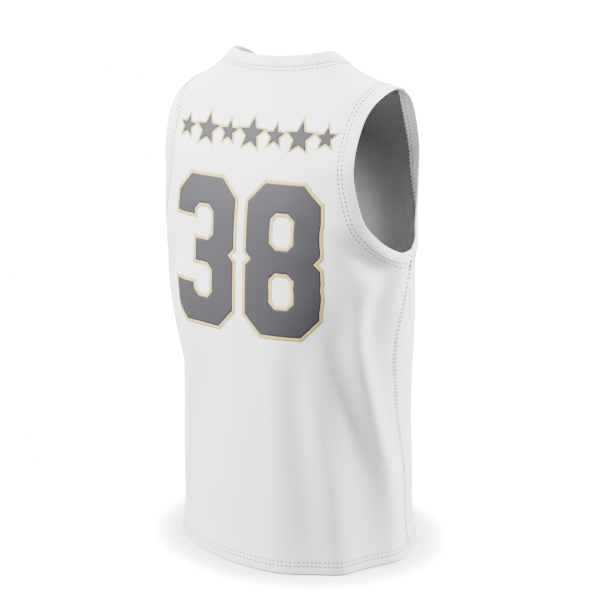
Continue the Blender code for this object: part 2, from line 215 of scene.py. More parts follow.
# ---- print: a plain two-digit number and a row of stars
DIGIT_HEIGHT = 0.205
DIGIT_WIDTH = 0.111
DIGIT_STROKE = 0.0375
DIGIT_CORNER = 0.026
DIGIT_INNER_CORNER = 0.009
DIGIT_WAIST = DIGIT_STROKE * 0.42  # half the stroke at mid-height
DIGIT_ARM = DIGIT_STROKE * 1.45  # how far the ends of the 3 come down or up
DIGIT_BAR = DIGIT_WIDTH * 0.36  # where the middle bar of the 3 starts
DIGIT_SPACE = 0.021
DIGIT_MIDDLE_Z = -0.275
DIGIT_EDGE = 0.0048     # border round a figure
STAR_MIDDLE_Z = -0.112
STAR_RADII = (.015, .021, .015, .021, .015, .021, .015)
STAR_SPACE = 0.0385     # from one middle to the next
STAR_POINTS = 5
STAR_INNER = 0.46       # inner radius over outer radius
STAR_EDGE = 0.0022
PRINT_STEP = 0.003      # between the points of the film
PRINT_INSET = PRINT_STEP * 0.7
PRINT_LIFT = 0.00022    # above the cloth
PRINT_FILM = 0.00008    # thickness
PRINT_STEPS = 200       # fine steps along a row, to find its length

# ---- camera
CAMERA_AZIMUTH = 215
CAMERA_ELEVATION = 14.6
CAMERA_DISTANCE = 2.025
CAMERA_PAN = 0.0157
CAMERA_LOOK_Z = -.36
CAMERA_LENS = 85

# ---- light
WORLD_LIGHT = 0.95
LAMPS = [
    # name, azimuth, elevation, distance, size, power
    ("left_box", 140, 28, 2.4, 1.0, 245),
    ("right_box", 306, 24, 2.4, 1.0, 270),
    ("top_box", 205, 78, 2.4, 1.4, 105),
]

# ---- floor: it glows white, and less so close to the hem, as a painted contact shadow
FLOOR_Z = -0.7215
FLOOR_SIZE = 60
FLOOR_COLOUR = (.9, .9, .9)
FLOOR_ROUGHNESS = 0.9
FLOOR_GLOW = 26
SHADOW_REACH = 0.075
SHADOW_DARKEST = 0.5    # openness at which the glow is gone
SHADOW_FALL = 4.6       # how fast it goes
SHADOW_SAMPLES = 32

# ---- finishes
WALES = ("X", 260, .4)  # upright columns of loops: direction, scale, unevenness
COURSES = ("Y", 330, .6)  # and rows of loops
LOOP_BUMP = (.25, .0002)  # strength, depth
KNIT_COLOUR = (.80, .80, .80)
KNIT_ROUGHNESS = 0.8
KNIT_SHEEN = 0.2
SHEEN_ROUGHNESS = 0.45
CLOUD_SCALE = 9         # the uneven tone of the knit
CLOUD_DETAIL = 3
CLOUD_SHADE = 0.985
# painted shade: the inside of the white knit is coloured grey, and darker towards the shoulders, in place
# of the shade inside the jersey
INNER_PAINTED_SHADE = (.30, .30, .304)
INNER_TOP_PAINTED_SHADE = (.080, .080, .082)
INNER_LOW_Z = -.255     # the inside darkens from here
INNER_HIGH_Z = -.10     # up to here
INNER_SHEEN = 0.02
FILL_COLOUR = (.035, .034, .040)
EDGE_COLOUR = (.53, .41, .13)
PRINT_ROUGHNESS = 0.65
PRINT_SPECULAR = 0.25
GRAIN_SCALE = 900       # the grain of the print
GRAIN_SHADE = 0.94
GRAIN_BUMP = (.12, .0001)
THREAD_COLOUR = (.02, .02, .022)
THREAD_DARKEST = (.008, .008, .009)
THREAD_LIGHTEST = (.10, .10, .105)
THREAD_ROUGHNESS = 0.6
THREAD_SCALE = 160


# ======== the sheet of arches
def unit(vectors):
    """The same vectors, each of length 1."""
    return vectors / np.maximum(np.linalg.norm(vectors, axis=-1, keepdims=True), 1e-12)


def share_out(outline, share):
    """Points at even lengths along a plan outline; share runs from -1 to 1."""
    steps = np.linalg.norm(np.diff(outline, axis=0), axis=1)
    length = np.concatenate([[0], np.cumsum(steps)])
    at = 2 * length / length[-1] - 1
    return np.interp(share, at, outline[:, 0]), np.interp(share, at, outline[:, 1])


def raised(z_middle, z_edge, share):
    """Heights along a row, which climbs at its ends."""
    return z_middle + (z_edge - z_middle) * np.abs(share) ** LIFT


def body_row(row, share, back):
    """One panel's half of a closed round."""
    _, z_middle, z_seam, half_width, y_widest, y_back, y_front, y_seam = row
    behind = y_back - y_widest
    ahead = y_widest - y_front
    depth = behind if y_seam > y_widest else ahead
    seam = math.acos((y_seam - y_widest) / depth)
    reach = np.linspace(-1, 1, ARC_STEPS + 1)
    angle = reach * seam if back else math.pi - reach * (math.pi - seam)
    x = half_width * np.sign(np.sin(angle)) * np.abs(np.sin(angle)) ** SQUARE
    y = y_widest + np.where(np.cos(angle) > 0, behind, ahead) * np.cos(angle)
    x, y = share_out(np.column_stack([x, y]), share)
    return np.column_stack([x, y, raised(z_middle, z_seam, share)])


def armhole_row(row, share):
    """An open section from one armhole edge to the other."""
    _, z_middle, y_middle, x_edge, y_edge, z_edge, turn = row
    limit = math.radians(turn)
    angle = limit * np.linspace(-1, 1, ARC_STEPS + 1)
    x = x_edge * np.sign(angle) * (np.abs(np.sin(angle)) / math.sin(limit)) ** SQUARE
    bow = (np.cos(angle) - math.cos(limit)) / (1 - math.cos(limit))
    x, y = share_out(np.column_stack([x, y_edge + (y_middle - y_edge) * bow]), share)
    return np.column_stack([x, y, raised(z_middle, z_edge, share)])


def shoulder_row(share):
    """The shoulder line, carried on across the neck so that the arches stay whole."""
    x = share * TIP_X
    y = SHOULDER_BACK + (TIP_Y - SHOULDER_BACK) * np.abs(share) ** SHOULDER_SWEEP
    z = SHOULDER_BASE + SHOULDER_RISE * np.exp(-(x / SHOULDER_WIDTH) ** 2)
    return np.column_stack([x, y, z])


def all_rows(share):
    """Every row's points, from the back hem over the shoulder line to the front hem."""
    back = [body_row(row, share, True) for row in BODY]
    back += [armhole_row(row, share) for row in BACK_ARMHOLE]
    front = [body_row(row, share, False) for row in BODY]
    front += [armhole_row(row, share) for row in FRONT_ARMHOLE]
    return np.array(back + [shoulder_row(share)] + front[::-1])


def knot_runs():
    """The run of each row, from the middle and quarter columns; side seams share theirs."""
    rows = all_rows(np.array([0, .5]))
    steps = np.linalg.norm(np.diff(rows, axis=0), axis=2).mean(axis=1)
    body_steps = np.diff([row[1] for row in BODY])
    steps[:len(body_steps)] = body_steps
    steps[-len(body_steps):] = body_steps[::-1]
    return np.concatenate([[0], np.cumsum(steps)])


RUNS = knot_runs()
BACK_ARMPIT = len(BODY) - 1
SHOULDER = len(BODY) + len(BACK_ARMHOLE)
FRONT_ARMPIT = len(RUNS) - len(BODY)
SHOULDER_RUN = RUNS[SHOULDER]


def row_slopes(rows):
    """Slopes along the arches: round through the body's rows, and never past a row above them."""
    step = np.diff(RUNS)[:, None, None]
    rise = np.diff(rows, axis=0) / step
    slope = np.zeros_like(rows)
    same = rise[:-1] * rise[1:] > 0
    before = np.where(same, rise[:-1], 1)
    after = np.where(same, rise[1:], 1)
    weight_1 = 2 * step[1:] + step[:-1]
    weight_2 = step[1:] + 2 * step[:-1]
    slope[1:-1] = np.where(same, (weight_1 + weight_2) / (weight_1 / before + weight_2 / after), 0)
    even = (step[1:] * rise[:-1] + step[:-1] * rise[1:]) / (step[:-1] + step[1:])
    slope[1:BACK_ARMPIT + 2] = even[:BACK_ARMPIT + 1]
    slope[FRONT_ARMPIT - 1:-1] = even[FRONT_ARMPIT - 2:]
    slope[0] = rise[0]
    slope[-1] = rise[-1]
    return slope, rise


def base(share, run):
    """Points of the sheet before its folds, for matching arrays of share and run."""
    rows = all_rows(share)
    slope, rise = row_slopes(rows)
    arriving = slope.copy()
    leaving = slope.copy()
    corner = np.abs(share)[:, None] ** SEAM_CORNER
    for knot in (BACK_ARMPIT, FRONT_ARMPIT):
        arriving[knot] += corner * (rise[knot - 1] - slope[knot])
        leaving[knot] += corner * (rise[knot] - slope[knot])
    at = np.clip(np.searchsorted(RUNS, run, side="right") - 1, 0, len(RUNS) - 2)
    column = np.arange(len(share))
    step = (RUNS[at + 1] - RUNS[at])[:, None]
    u = (run - RUNS[at])[:, None] / step
    low = rows[at, column] * (2 * u ** 3 - 3 * u ** 2 + 1)
    high = rows[at + 1, column] * (3 * u ** 2 - 2 * u ** 3)
    low += step * leaving[at, column] * (u ** 3 - 2 * u ** 2 + u)
    high += step * arriving[at + 1, column] * (u ** 3 - u ** 2)
    return low + high


def smooth(x):
    """A soft step from 0 to 1."""
    x = np.clip(x, 0, 1)
    return x * x * (3 - 2 * x)


def fold_height(place, z):
    """How far the folds stand out at a place round the body and a height."""
    total = np.zeros_like(z)
    for _, z_top, z_bottom, top, middle, bottom, spread, height, hem_share in FOLDS:
        down = (z_top - z) / (z_top - z_bottom)
        line = np.clip(down, 0, 1)
        centre = top * (1 - line) * (1 - 2 * line) + middle * 4 * line * (1 - line)
        centre += bottom * line * (2 * line - 1)
        across = (place - centre) * HALF_PANEL / spread
        along = smooth(down / FOLD_GROWS)
        along *= 1 - (1 - hem_share) * smooth((down - FOLD_FADES) / (1 - FOLD_FADES))
        total += height * along * np.exp(-across ** 2)
    return total


def sheet(share, run):
    """Points of the outer face of the cloth."""
    points = base(share, run)
    front = run > SHOULDER_RUN
    place = np.where(front, np.sign(share) * (2 - np.abs(share)), share)
    out = unit(points[:, :2] - np.array([0, FOLD_AXIS_Y]))
    points[:, :2] += out * fold_height(place, points[:, 2])[:, None]
    return points


def slopes(share, run):
    """How the sheet's points move with share and with run, and the unit normal outwards."""
    tiny_share = np.where(share > 0, -TINY_SHARE, TINY_SHARE)
    tiny_run = np.where(run > SHOULDER_RUN, -TINY_RUN, TINY_RUN)
    here = sheet(share, run)
    across = (sheet(share + tiny_share, run) - here) / tiny_share[:, None]
    along = (sheet(share, run + tiny_run) - here) / tiny_run[:, None]
    return here, across, along, unit(np.cross(along, across))


# ======== the neckline
def neck_edge(share, back, out):
    """The run at which each arch meets a neckline; out is 0 at the seam, 1 at the free edge."""
    half_width, z_back, z_front = (NECK[0][k] + out * (NECK[1][k] - NECK[0][k]) for k in (1, 2, 3))
    z_side = shoulder_row(np.array([half_width / TIP_X]))[0, 2]
    z_deep = z_back if back else z_front
    far = RUNS[SHOULDER - NECK_ROWS] if back else RUNS[SHOULDER + NECK_ROWS]
    runs = np.linspace(far, SHOULDER_RUN, NECK_STEPS)
    result = np.empty(len(share))
    for k, one in enumerate(share):
        points = base(np.full(len(runs), one), runs)
        curve = z_deep + (z_side - z_deep) * (np.abs(points[:, 0]) / half_width) ** NECK_ROUND
        above = points[:, 2] - curve
        crossed = np.nonzero(above >= 0)[0]
        if len(crossed) == 0:
            result[k] = SHOULDER_RUN
            continue
        j = max(crossed[0], 1)
        part = above[j - 1] / (above[j - 1] - above[j])
        result[k] = runs[j - 1] + part * (runs[j] - runs[j - 1])
    return result


def neck_shares():
    """Shares of the neck's half width, from 0 to 1, closer together towards its end."""
    even = np.linspace(0, 1, NECK_COLUMNS + 1)
    return even + NECK_CROWDING * (np.sin(even * math.pi / 2) - even)


def top_runs(shares, back, out, inset):
    """Where each column of a panel meets a line beside the neckline and the shoulder seam."""
    away = 1 if back else -1
    top = np.full(len(shares), SHOULDER_RUN - away * inset)
    inside = np.abs(shares) * TIP_X < NECK[0][1] - TOUCHING
    neck = neck_edge(shares[inside], back, out)
    top[inside] = np.minimum(neck, top[inside]) if back else np.maximum(neck, top[inside])
    return top


def neck_ring(out):
    """A closed neckline: along the back, then back again in front; shares and runs."""
    parts = neck_shares()
    half = (NECK[0][1] + out * (NECK[1][1] - NECK[0][1])) / TIP_X
    shares = np.concatenate([-parts[:0:-1], parts]) * half
    ring = []
    for back, order in ((True, shares), (False, shares[::-1])):
        inner = neck_edge(order[1:-1], back, out)
        ring.append(np.column_stack([order[:-1], np.concatenate([[SHOULDER_RUN], inner])]))
    return np.concatenate(ring)


# ======== round an armhole
def armhole_ring(side, distance):
    """A closed ring on the sheet at a distance from the armhole edge: its shares and runs."""
    run = np.linspace(RUNS[BACK_ARMPIT], RUNS[FRONT_ARMPIT], ARMHOLE_STEPS, endpoint=False)
    edge = sheet(np.full(len(run), float(side)), run)
    spacing = np.linalg.norm(np.diff(edge, axis=0, append=edge[:1]), axis=1)
    length = np.concatenate([[0], np.cumsum(spacing)])
    even = np.linspace(0, length[-1], ARMHOLE_STEPS, endpoint=False)
    run = np.interp(even, length[:-1], run)
    share = np.full(len(run), float(side))
    edge, _, _, normal = slopes(share, run)
    normal = unit(sum(weight * np.roll(normal, shift, axis=0) for shift, weight in NORMAL_BLEND))
    tangent = np.roll(edge, -TANGENT_STEPS, axis=0) - np.roll(edge, TANGENT_STEPS, axis=0)
    target = edge + unit(np.cross(tangent, normal) * side) * distance
    front = run > SHOULDER_RUN
    for _ in range(ARMHOLE_PASSES):
        here, across, along, _ = slopes(share, run)
        miss = target - here
        aa = (across ** 2).sum(axis=1)
        ab = (across * along).sum(axis=1)
        bb = (along ** 2).sum(axis=1)
        am = (across * miss).sum(axis=1)
        bm = (along * miss).sum(axis=1)
        det = aa * bb - ab ** 2
        share = share + (bb * am - ab * bm) / det
        run = run + (aa * bm - ab * am) / det
        share = np.clip(share * side, RING_SHARE, 1) * side
        run = np.where(front, np.maximum(run, SHOULDER_RUN + TINY_RUN), np.minimum(run, SHOULDER_RUN))
    return share, run


# ======== relief beside the hems
def dips(distance, rows):
    """How deep rows of stitches pull the cloth in at distances from its edge."""
    return STITCH_SINK * sum(np.exp(-((distance - row) / STITCH_SPREAD) ** 2) for row in rows)


def sewn_relief(points, share, run, back):
    """How the hem and armhole hems stand out a little, and dip along their rows of stitches."""
    edge_run = run - RUNS[0] if back else RUNS[-1] - run
    relief = -dips(edge_run, HEM_ROWS)
    relief += HEM_PROUD * smooth((HEM_DEPTH - edge_run) / HEM_SLOPE)
    above_pits = (run > RUNS[BACK_ARMPIT] - NEAR_RUN) & (run < RUNS[FRONT_ARMPIT] + NEAR_RUN)
    for side in (-1, 1):
        index = np.nonzero((share * side > NEAR_SHARE) & above_pits)[0]
        ring_run = np.linspace(RUNS[BACK_ARMPIT], RUNS[FRONT_ARMPIT], NEAR_STEPS)
        ring = sheet(np.full(len(ring_run), float(side)), ring_run)
        gap = np.linalg.norm(points[index][:, None, :] - ring[None, :, :], axis=2).min(axis=1)
        relief[index] -= dips(gap, ARMHOLE_ROWS)
        relief[index] += HEM_PROUD * smooth((FACING_WIDTH - gap) / HEM_SLOPE)
    return relief


# ======== meshes
def grid_normals(points, outward_up):
    """Unit normals of a grid of points on its outer side."""
    up = np.gradient(points, axis=0)
    across = np.gradient(points, axis=1)
    return unit(np.cross(across, up) if outward_up else np.cross(up, across))


def linked(name, data):
    """A new object in the scene."""
    new = bpy.data.objects.new(name, data)
    bpy.context.scene.collection.objects.link(new)
    return new


def add_object(name, verts, faces, uvs=None):
    """A smooth mesh object, with places on the flat cloth if they are given."""
    data = bpy.data.meshes.new(name)
    data.from_pydata([tuple(v) for v in verts], [], faces)
    data.shade_smooth()
    if uvs is not None:
        layer = data.uv_layers.new(name="cloth")
        corner = np.empty(len(data.loops), dtype=np.int32)
        data.loops.foreach_get("vertex_index", corner)
        layer.data.foreach_set("uv", np.asarray(uvs)[corner].ravel())
    return linked(name, data)


def thicken(piece, thickness):
    """A wall behind a piece's outer face."""
    layer = piece.modifiers.new("layer", "SOLIDIFY")
    layer.thickness = thickness
    layer.offset = -1
    return layer


def grid_faces(rows, columns, outward_up, closed_rows=False, closed_columns=False):
    """The faces of a grid of points, or of a tube or ring of them."""
    faces = []
    for r in range(rows if closed_rows else rows - 1):
        for c in range(columns if closed_columns else columns - 1):
            a = r * columns + c
            b = r * columns + (c + 1) % columns
            e = (r + 1) % rows * columns + (c + 1) % columns
            f = (r + 1) % rows * columns + c
            faces.append((a, b, e, f) if outward_up else (f, e, b, a))
    return faces


def rolled(edge, outwards, normal, turn, steps, tail=0, amount=1):
    """Rows of points that roll an edge in by turn degrees, then run straight on for tail; an
    amount below 1 makes both shallower."""
    rows = []
    for k in range(1, steps + 1):
        angle = math.radians(turn) * k / steps
        move = math.sin(angle) * outwards - (1 - math.cos(angle)) * amount * normal
        rows.append(edge + ROLL * move)
    if tail:
        rows.append(rows[-1] - normal * amount * tail)
    return rows


def panel_grid(back):
    """A panel's shares and runs as grids, from its hem to the shoulder seam and neckline."""
    strip = 1 - (FACING_WIDTH + HEM_BEYOND) / HALF_PANEL
    neck = NECK[0][1] / TIP_X
    half = np.concatenate([
        neck_shares()[:-1] * neck,
        np.linspace(neck, strip, SHOULDER_COLUMNS, endpoint=False),
        np.linspace(strip, 1 - ROLL / HALF_PANEL, HEM_COLUMNS)])
    shares = np.concatenate([-half[:0:-1], half])
    away = 1 if back else -1
    start = RUNS[0] if back else RUNS[-1]
    hem = start + away * np.arange(ROLL, HEM_DEPTH + HEM_BEYOND, HEM_STEP)
    count = round(abs(SHOULDER_RUN - hem[-1]) / ROW_STEP)
    runs = np.concatenate([hem, np.linspace(hem[-1], SHOULDER_RUN, count + 1)[1:-1]])
    runs = np.append(runs, SHOULDER_RUN - away * ROLL)
    cut = RUNS[SHOULDER - NECK_ROWS] if back else RUNS[SHOULDER + NECK_ROWS]
    beside = top_runs(shares, back, -ROLL / BAND_WIDTH, ROLL)
    part = np.maximum((runs - cut) * away, 0) / abs(runs[-1] - cut)
    grid = runs[:, None] + part[:, None] * (beside - runs[-1])[None, :]
    return np.repeat(shares[None, :], len(runs), axis=0), grid


def with_hem(points, uv, normals):
    """The rows of a panel's hem, folded up inside, and then the panel's own rows."""
    hem_rows = int(HEM_DEPTH / HEM_STEP)
    down = unit(points[0] - points[1])
    fold = rolled(points[0], down, normals[0], 180, FOLD_ROWS)
    turned = [points[k] - 2 * ROLL * normals[k] for k in range(1, hem_rows)]
    inner = (fold + turned)[::-1]
    inner_uv = [uv[k] for k in range(hem_rows - 1, 0, -1)] + [uv[0]] * len(fold)
    return len(inner), np.concatenate([np.array(inner), points]), np.concatenate([np.array(inner_uv), uv])


def with_sides(points, uv, normals, seam_amount, armhole):
    """A panel's columns with its side seams rolled in and, where armhole is 1, its edges folded."""
    sides = []
    for edge, beside in ((0, 1), (-1, -2)):
        out = unit(points[:, edge] - points[:, beside])
        seam = rolled(points[:, edge], out, normals[:, edge], 90, EDGE_COLUMNS - 1, SEAM_TAIL, seam_amount)
        fold = rolled(points[:, edge], out, normals[:, edge], EDGE_TURN, EDGE_COLUMNS)
        columns = [a * (1 - armhole) + b * armhole for a, b in zip(seam, fold)]
        sides.append(np.stack(columns, axis=1))
    points = np.concatenate([sides[0][:, ::-1], points, sides[1]], axis=1)
    uv = np.concatenate([uv[:, :1]] * EDGE_COLUMNS + [uv] + [uv[:, -1:]] * EDGE_COLUMNS, axis=1)
    return points, uv


def with_top(points, uv, normals):
    """A panel's rows and then those that roll in its shoulder seams and neckline."""
    amount = np.ones(points.shape[1])
    amount[:EDGE_COLUMNS] = np.linspace(0, 1, EDGE_COLUMNS)
    amount[-EDGE_COLUMNS:] = np.linspace(1, 0, EDGE_COLUMNS)
    up = unit(points[-1] - points[-2])
    top = rolled(points[-1], up, normals[-1], 90, TOP_ROWS, TOP_TAIL, amount[:, None])
    return np.concatenate([points, np.array(top)]), np.concatenate([uv, np.array([uv[-1]] * len(top))])


def make_panel(name, back):
    """A panel of knit: its hem turned up inside, its armhole edges folded, its seams rolled in."""
    share, run = panel_grid(back)
    shape = share.shape
    points = sheet(share.ravel(), run.ravel())
    relief = sewn_relief(points, share.ravel(), run.ravel(), back)
    points = points.reshape(*shape, 3)
    points = points + grid_normals(points, not back) * relief.reshape(shape)[:, :, None]
    uv = np.stack([share * HALF_PANEL, run], axis=2)
    turned, points, uv = with_hem(points, uv, grid_normals(points, not back))

    seam_amount = np.concatenate([np.zeros(turned), smooth(np.arange(shape[0]) / FADE_ROWS)])
    pit = RUNS[BACK_ARMPIT] if back else RUNS[FRONT_ARMPIT]
    above = (run[:, 0] - pit) * (1 if back else -1)
    armhole = np.concatenate([np.zeros(turned), smooth(above / PIT_BLEND + .5)])
    normals = grid_normals(points, not back)
    points, uv = with_sides(points, uv, normals, seam_amount[:, None], armhole[:, None])
    points, uv = with_top(points, uv, grid_normals(points, not back))

    rows, columns = points.shape[:2]
    new = add_object(name, points.reshape(-1, 3), grid_faces(rows, columns, not back), uv.reshape(-1, 2))
    new.data.materials.append(KNIT_WHITE)
    # the inner face takes the inside knit, which carries painted shade
    new.data.materials.append(KNIT_INSIDE_SHADED)
    thicken(new, KNIT).material_offset = 1
    return new


def make_facing(name, side):
    """The armhole's turned-in edge, from the fold to its inner row of stitches."""
    rows = []
    for distance, depth in FACING:
        share, run = armhole_ring(side, distance)
        here, _, _, normal = slopes(share, run)
        rows.append(here - normal * (2 * ROLL + depth))
    last = rows[-1] + (rows[-1] - rows[-2]) * FACING_LIP
    rows.append(last + normal * KNIT)
    points = np.array(rows)
    faces = grid_faces(points.shape[0], points.shape[1], side > 0, closed_columns=True)
    new = add_object(name, points.reshape(-1, 3), faces)
    new.data.materials.append(KNIT_WHITE)
    thicken(new, FACING_KNIT)
    return new


def make_neck_band(name):
    """The doubled ring of knit, soft and round at its free edge."""
    rings = []
    for out, off in BAND_SECTION:
        here, _, _, normal = slopes(*neck_ring(out).T)
        rings.append(here + normal * off)
    points = np.array(rings)
    rows, columns = points.shape[:2]
    faces = grid_faces(rows, columns, False, closed_rows=True, closed_columns=True)
    along = np.linspace(0, BAND_LENGTH, columns)
    uv = np.array([np.column_stack([along, np.full(columns, k * BAND_LOOPS)]) for k in range(rows)])
    new = add_object(name, points.reshape(-1, 3), faces, uv.reshape(-1, 2))
    new.data.materials.append(KNIT_BAND)
    return new


# ======== sewing
def uneven(number):
    """Fixed uneven values from 0 to 1, one for each stitch of a row."""
    value = np.sin(np.arange(number) * SCATTER[0] + number) * SCATTER[1]
    return value - np.floor(value)


def read_along(at, length, values):
    """Values at lengths along a row."""
    return np.column_stack([np.interp(at, length, values[:, k]) for k in range(3)])


def stitches(rows):
    """Small dark stitches, thick in the middle, along rows of (points, normals, closed)."""
    verts = []
    faces = []
    for points, normals, closed in rows:
        if closed:
            points = np.concatenate([points, points[:1]])
            normals = np.concatenate([normals, normals[:1]])
        length = np.concatenate([[0], np.cumsum(np.linalg.norm(np.diff(points, axis=0), axis=1))])
        number = max(1, int(length[-1] / STITCH_PITCH))
        jitter = uneven(number)
        middle = (np.arange(number) + .5) * length[-1] / number
        middle = middle + (jitter - .5) * STITCH_PITCH * STITCH_STRAY
        half = STITCH_LENGTH * (HALF_STITCH[0] + HALF_STITCH[1] * jitter)
        facing = unit(read_along(middle, length, normals))
        centre = read_along(middle, length, points)
        ahead = read_along(np.minimum(middle + STITCH_AHEAD, length[-1]), length, points)
        along = unit(ahead - read_along(np.maximum(middle - STITCH_AHEAD, 0), length, points))
        sideways = np.cross(facing, along)
        for k in range(number):
            c = centre[k]
            t = along[k] * half[k]
            n = facing[k] * STITCH_RADIUS
            s = sideways[k] * STITCH_RADIUS
            i = len(verts)
            verts += [c - t - n * STITCH_END_DEPTH, c + t - n * STITCH_END_DEPTH]
            for part in (-.5, .5):
                m = c + t * part
                verts += [m + s, m + n * STITCH_CROWN, m - s, m - n * STITCH_UNDERSIDE]
            for q in range(4):
                p = (q + 1) % 4
                faces += [(i, i + 2 + p, i + 2 + q), (i + 1, i + 6 + q, i + 6 + p)]
                faces.append((i + 2 + q, i + 2 + p, i + 6 + p, i + 6 + q))
    return verts, faces


def sheet_row(share, run, closed=False, inside=False):
    """A row on the cloth, or inside on an armhole hem: its points, their normals, if it closes."""
    here, _, _, normal = slopes(share, run)
    if inside:
        return here - normal * (2 * ROLL + INSIDE_LIFT), -normal, closed
    return here + normal * STITCH_LIFT, normal, closed


def make_stitching(name, rows):
    """One piece of all the stitches along some rows."""
    verts, faces = stitches(rows)
    new = add_object(name, verts, faces)
    new.data.materials.append(THREAD)
    return new


def hem_rows():
    """Two rows round the hem."""
    shares = np.linspace(-1 + ROW_END / HALF_PANEL, 1 - ROW_END / HALF_PANEL, HEM_ROW_POINTS)
    runs = [run for depth in HEM_ROWS for run in (RUNS[0] + depth, RUNS[-1] - depth)]
    return [sheet_row(shares, np.full(len(shares), run)) for run in runs]


def side_rows():
    """A row on each side of each side seam."""
    back = np.linspace(RUNS[0] + ROW_END, RUNS[BACK_ARMPIT] - PIT_END, SIDE_ROW_POINTS)
    front = np.linspace(RUNS[-1] - ROW_END, RUNS[FRONT_ARMPIT] + PIT_END, SIDE_ROW_POINTS)
    shares = [side * (1 - SIDE_ROW / HALF_PANEL) for side in (-1, 1)]
    return [sheet_row(np.full(len(runs), share), runs) for share in shares for runs in (back, front)]


def armhole_rows(side):
    """Two rows round an armhole, outside and inside."""
    rings = [armhole_ring(side, distance) for distance in ARMHOLE_ROWS]
    return [sheet_row(*ring, True, inside) for ring in rings for inside in (False, True)]


def neck_rows():
    """One row round the neck, below the band."""
    return [sheet_row(*neck_ring(-NECK_ROW / BAND_WIDTH).T, True)]


# ======== print
def grown(outline, by):
    """An outline with every side moved out by a distance; the corners stay mitred."""
    outline = np.asarray(outline, float)
    ahead = unit(np.roll(outline, -1, axis=0) - outline)
    behind = np.roll(ahead, 1, axis=0)
    out_ahead = np.column_stack([ahead[:, 1], -ahead[:, 0]])
    out_behind = np.column_stack([behind[:, 1], -behind[:, 0]])
    mitre = out_ahead + out_behind
    mitre /= (mitre * out_ahead).sum(axis=1)[:, None]
    area = (outline[:, 0] * np.roll(outline[:, 1], -1) - outline[:, 1] * np.roll(outline[:, 0], -1)).sum()
    return [tuple(p) for p in outline + mitre * by * np.sign(area)]


def block_hole(x0, x1, y0, y1):
    """A rectangle with its corners cut off."""
    c = DIGIT_INNER_CORNER
    return [(x0 + c, y0), (x1 - c, y0), (x1, y0 + c), (x1, y1 - c), (x1 - c, y1), (x0 + c, y1),
            (x0, y1 - c), (x0, y0 + c)]


def block_eight():
    """A block 8: its outline and its two holes."""
    w, h, s, c = DIGIT_WIDTH, DIGIT_HEIGHT, DIGIT_STROKE, DIGIT_CORNER
    m = h / 2
    waist = DIGIT_WAIST
    notch = DIGIT_INNER_CORNER
    outer = [(c, 0), (w - c, 0), (w, c), (w, m - notch), (w - notch, m), (w, m + notch), (w, h - c),
             (w - c, h), (c, h), (0, h - c), (0, m + notch), (notch, m), (0, m - notch), (0, c)]
    return [outer, block_hole(s, w - s, s, m - waist), block_hole(s, w - s, m + waist, h - s)]


def block_three():
    """A block 3, anticlockwise from its lower right corner."""
    w, h, s, c = DIGIT_WIDTH, DIGIT_HEIGHT, DIGIT_STROKE, DIGIT_CORNER
    i = DIGIT_INNER_CORNER
    m = h / 2
    waist = DIGIT_WAIST
    arm = DIGIT_ARM
    right = [(w, c), (w, m - i), (w - i, m), (w, m + i), (w, h - c)]
    top = [(w - c, h), (c, h), (0, h - c), (0, h - arm), (s, h - arm), (s, h - s - i), (s + i, h - s),
           (w - s - i, h - s), (w - s, h - s - i), (w - s, m + waist + i), (w - s - i, m + waist)]
    middle = [(DIGIT_BAR, m + waist), (DIGIT_BAR, m - waist)]
    bottom = [(w - s - i, m - waist), (w - s, m - waist - i), (w - s, s + i), (w - s - i, s), (s + i, s),
              (s, s + i), (s, arm), (0, arm), (0, c), (c, 0), (w - c, 0)]
    return [right + top + middle + bottom]


def star(radius):
    """A star with one point up."""
    points = []
    for k in range(2 * STAR_POINTS):
        r = radius if k % 2 == 0 else radius * STAR_INNER
        angle = math.pi / 2 + k * math.pi / STAR_POINTS
        points.append((r * math.cos(angle), r * math.sin(angle)))
    return [points]


def half_lengths():
    """Half the length of each row."""
    rows = all_rows(np.linspace(-1, 1, PRINT_STEPS + 1))
    return np.linalg.norm(np.diff(rows[:, :, :2], axis=1), axis=2).sum(axis=1) / 2


HALF_LENGTHS = half_lengths()
MIDDLE_Z = np.array([row[1] for row in BODY] + [row[1] for row in BACK_ARMHOLE])


def print_points(flat):
    """Flat print places (metres from the centre back, height) as shares and runs on the back."""
    run = np.interp(flat[:, 1], MIDDLE_Z, RUNS[:len(MIDDLE_Z)])
    share = flat[:, 0] / np.interp(run, RUNS, HALF_LENGTHS)
    return share, run


def within(places, outlines):
    """Which places lie inside the first outline and outside its holes."""
    inside = np.zeros(len(places), dtype=bool)
    for outline in outlines:
        for (ax, ay), (bx, by) in zip(outline, outline[1:] + outline[:1]):
            spans = (ay > places[:, 1]) != (by > places[:, 1])
            if ay == by:
                continue
            cross = ax + (places[:, 1] - ay) * (bx - ax) / (by - ay)
            inside ^= spans & (places[:, 0] < cross)
    return inside


def filled(outlines):
    """Flat points and triangles that fill an outline up to its holes."""
    flat = []
    edges = []
    for outline in outlines:
        start = len(flat)
        for a, b in zip(outline, outline[1:] + outline[:1]):
            parts = max(1, round(math.dist(a, b) / PRINT_STEP))
            flat += [tuple(np.array(a) + (np.array(b) - np.array(a)) * k / parts) for k in range(parts)]
        edges += [(k, k + 1) for k in range(start, len(flat) - 1)] + [(len(flat) - 1, start)]
    low = np.min(outlines[0], axis=0)
    high = np.max(outlines[0], axis=0)
    for x in np.arange(low[0] + PRINT_INSET, high[0], PRINT_STEP):
        for y in np.arange(low[1] + PRINT_INSET, high[1], PRINT_STEP):
            flat.append((x, y))
    vectors = [mathutils.Vector(p) for p in flat]
    done = mathutils.geometry.delaunay_2d_cdt(vectors, edges, [], 0, TOUCHING)
    places = np.array([tuple(p) for p in done[0]])
    triangles = np.array(done[2])
    return places, triangles[within(places[triangles].mean(axis=1), outlines)]


